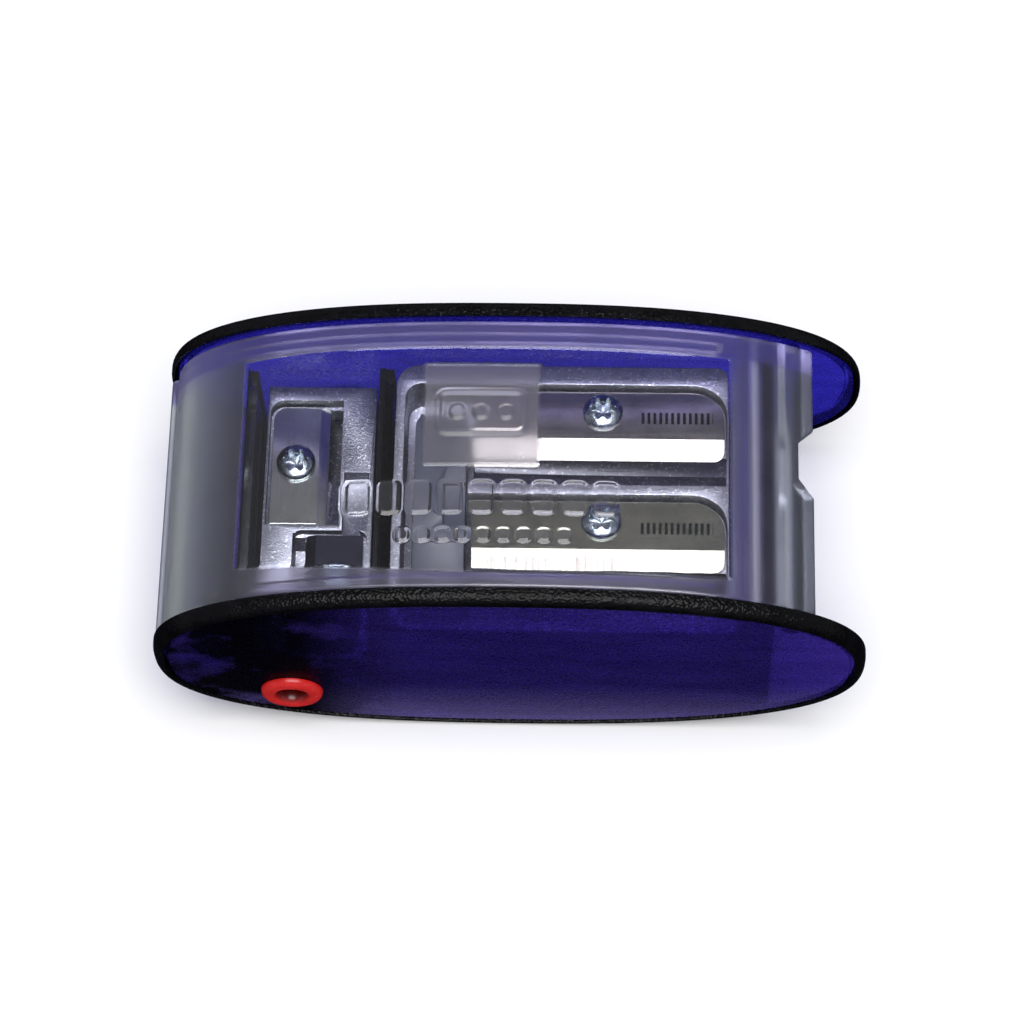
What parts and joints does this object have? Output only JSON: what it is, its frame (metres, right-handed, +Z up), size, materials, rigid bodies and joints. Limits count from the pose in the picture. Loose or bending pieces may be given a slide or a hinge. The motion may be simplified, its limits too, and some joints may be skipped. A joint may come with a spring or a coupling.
{
  "type": "container pencil sharpener",
  "caption": "Hand-held pencil sharpener with long-point blades, a lead pointer and a hinged clear lid over an oval shavings case.",
  "frame": {"origin": "on the standing surface, under the middle of the case", "axes": "+X towards the end where the pencils go in, +Y towards the back panel, +Z up"},
  "size_m": [0.062, 0.0302, 0.027],
  "materials": {
    "case_blue": "translucent blue, smooth",
    "rim_black": "soft-touch, fine pebble texture",
    "lid_clear": "frosted, with a clear window",
    "cast_metal": "pressure-cast, fine sparkle",
    "stop_grey": "moulded",
    "blade_steel": "hardened, ground edge",
    "screw_zinc": "zinc plated",
    "bush_red": "glossy red",
    "bush_blue": "glossy blue"
  },
  "bodies": {
    "case": {"base_tray": "case_blue", "side_panel_front": "case_blue", "side_panel_back": "case_blue", "rim_band_front": "rim_black", "rim_band_back": "rim_black", "lead_bush_front": "bush_red", "lead_bush_back": "bush_blue", "sharpener_block": "cast_metal", "point_stop_plate": "stop_grey", "wood_blade": "blade_steel", "graphite_blade": "blade_steel", "wood_blade_screw": "screw_zinc", "graphite_blade_screw": "screw_zinc", "pointer_block": "cast_metal", "pointer_blade_front": "blade_steel", "pointer_blade_back": "blade_steel", "pointer_screw_front": "screw_zinc", "pointer_screw_back": "screw_zinc", "spare_blade_middle": "blade_steel", "spare_blade_left": "blade_steel"},
    "lid": {"lid": "lid_clear"}
  },
  "joints": [
    {"name": "lid_hinge", "type": "hinge", "parent": "case", "child": "lid", "pos_m": [0.0243, 0, 0.0211], "axis": [0, 1, 0], "range_deg": [0, 100]}
  ]
}
